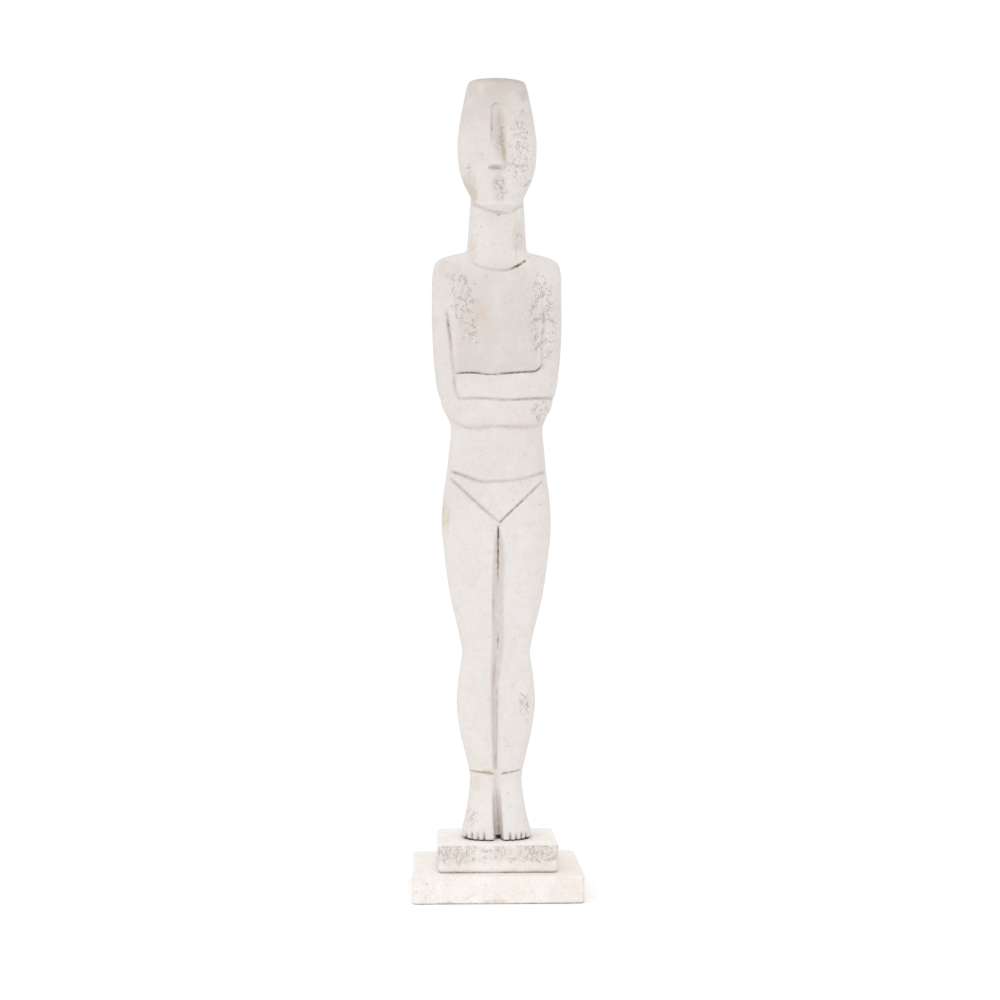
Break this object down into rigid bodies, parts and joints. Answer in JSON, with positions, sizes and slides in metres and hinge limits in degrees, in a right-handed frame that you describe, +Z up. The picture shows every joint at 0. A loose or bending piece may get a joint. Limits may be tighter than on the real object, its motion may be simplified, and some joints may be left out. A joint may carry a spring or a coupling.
{
  "type": "cycladic figurine",
  "caption": "Folded-arm standing figure in the Cycladic manner, cast in stone-filled plaster, upright on a two-step slab base.",
  "frame": {"origin": "centre of the lower slab's underside", "axes": "+Z up along the figure, -Y the way the figure faces, +X to the right of a viewer who faces it"},
  "size_m": [0.0816, 0.064, 0.4],
  "materials": {
    "figure_cast_stone": "matt off-white cast stone, porous, with a thin brown wash left in the carved lines",
    "base_cast_stone": "matt cream cast stone with coarse open pores on its edges and a brown wash in them"
  },
  "bodies": {
    "root": {"figure": "figure_cast_stone", "upper_slab": "base_cast_stone", "lower_slab": "base_cast_stone"}
  },
  "joints": []
}
